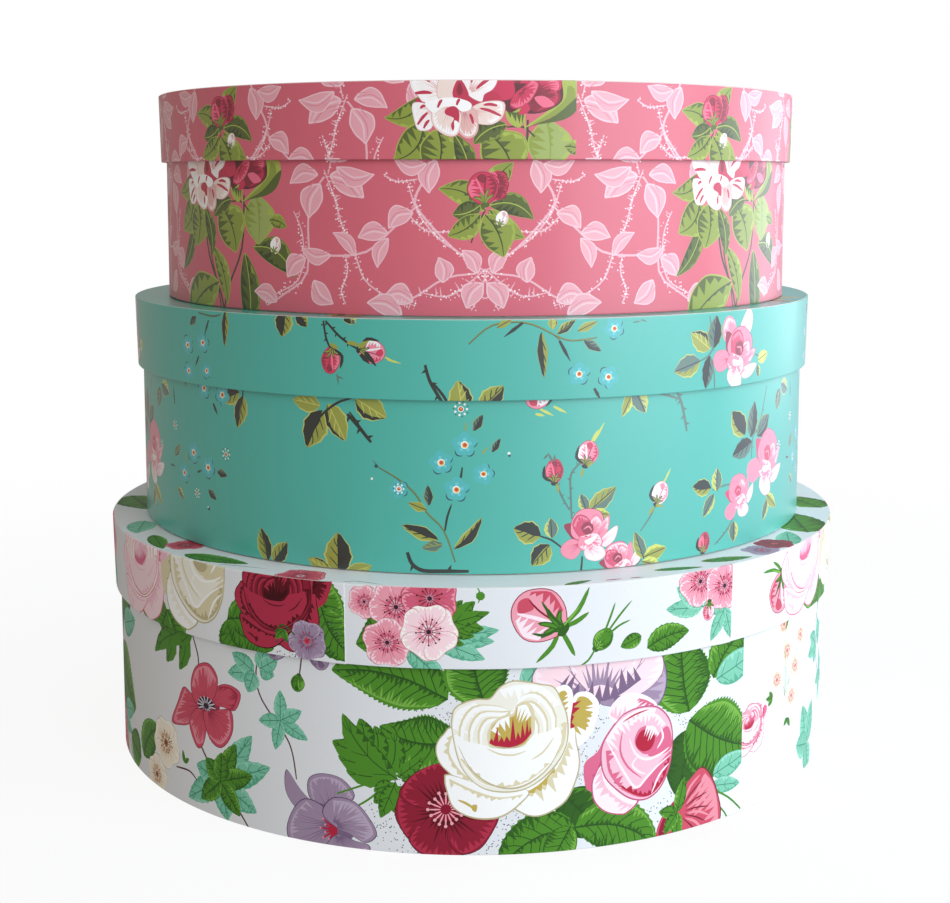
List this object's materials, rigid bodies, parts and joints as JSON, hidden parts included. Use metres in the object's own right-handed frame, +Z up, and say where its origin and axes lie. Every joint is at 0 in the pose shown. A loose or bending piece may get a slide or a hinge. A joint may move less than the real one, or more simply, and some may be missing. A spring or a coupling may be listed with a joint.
{
  "type": "hat box set",
  "caption": "Stack of round nesting hat boxes in paper-covered board, each with a deep lift-off lid.",
  "frame": {"origin": "centre of the large box's underside, on the surface that the stack stands on", "axes": "+Z up, along the boxes' centre lines; the front faces -Y; +X to the right seen from the front"},
  "size_m": [0.381, 0.381, 0.333],
  "materials": {
    "white_floral_paper": "satin",
    "teal_floral_paper": "satin",
    "pink_floral_paper": "satin",
    "greyboard": "matte",
    "lining_paper": "matte",
    "base_paper": "matte"
  },
  "bodies": {
    "large_box": {"large_base_paper": "base_paper", "large_base_board": "greyboard", "large_base_lining": "lining_paper", "large_wall_board": "greyboard", "large_wall_wrap": "white_floral_paper", "large_wall_lining": "lining_paper"},
    "medium_box": {"medium_base_paper": "base_paper", "medium_base_board": "greyboard", "medium_base_lining": "lining_paper", "medium_wall_board": "greyboard", "medium_wall_wrap": "teal_floral_paper", "medium_wall_lining": "lining_paper"},
    "small_box": {"small_base_paper": "base_paper", "small_base_board": "greyboard", "small_base_lining": "lining_paper", "small_wall_board": "greyboard", "small_wall_wrap": "pink_floral_paper", "small_wall_lining": "lining_paper"},
    "large_lid": {"large_lid_board": "greyboard", "large_lid_paper": "white_floral_paper", "large_lid_lining": "lining_paper", "large_rim_board": "greyboard", "large_rim_wrap": "white_floral_paper"},
    "medium_lid": {"medium_lid_board": "greyboard", "medium_lid_paper": "teal_floral_paper", "medium_lid_lining": "lining_paper", "medium_rim_board": "greyboard", "medium_rim_wrap": "teal_floral_paper"},
    "small_lid": {"small_lid_board": "greyboard", "small_lid_paper": "pink_floral_paper", "small_lid_lining": "lining_paper", "small_rim_board": "greyboard", "small_rim_wrap": "pink_floral_paper"}
  },
  "joints": [
    {"name": "large_lid_lift", "type": "slide", "parent": "large_box", "child": "large_lid", "axis": [0, 0, 1], "range_m": [0, 0.12]},
    {"name": "medium_box_lift", "type": "slide", "parent": "large_lid", "child": "medium_box", "axis": [0, 0, 1], "range_m": [0, 0.08]},
    {"name": "medium_lid_lift", "type": "slide", "parent": "medium_box", "child": "medium_lid", "axis": [0, 0, 1], "range_m": [0, 0.12]},
    {"name": "small_box_lift", "type": "slide", "parent": "medium_lid", "child": "small_box", "axis": [0, 0, 1], "range_m": [0, 0.08]},
    {"name": "small_lid_lift", "type": "slide", "parent": "small_box", "child": "small_lid", "axis": [0, 0, 1], "range_m": [0, 0.12]}
  ]
}
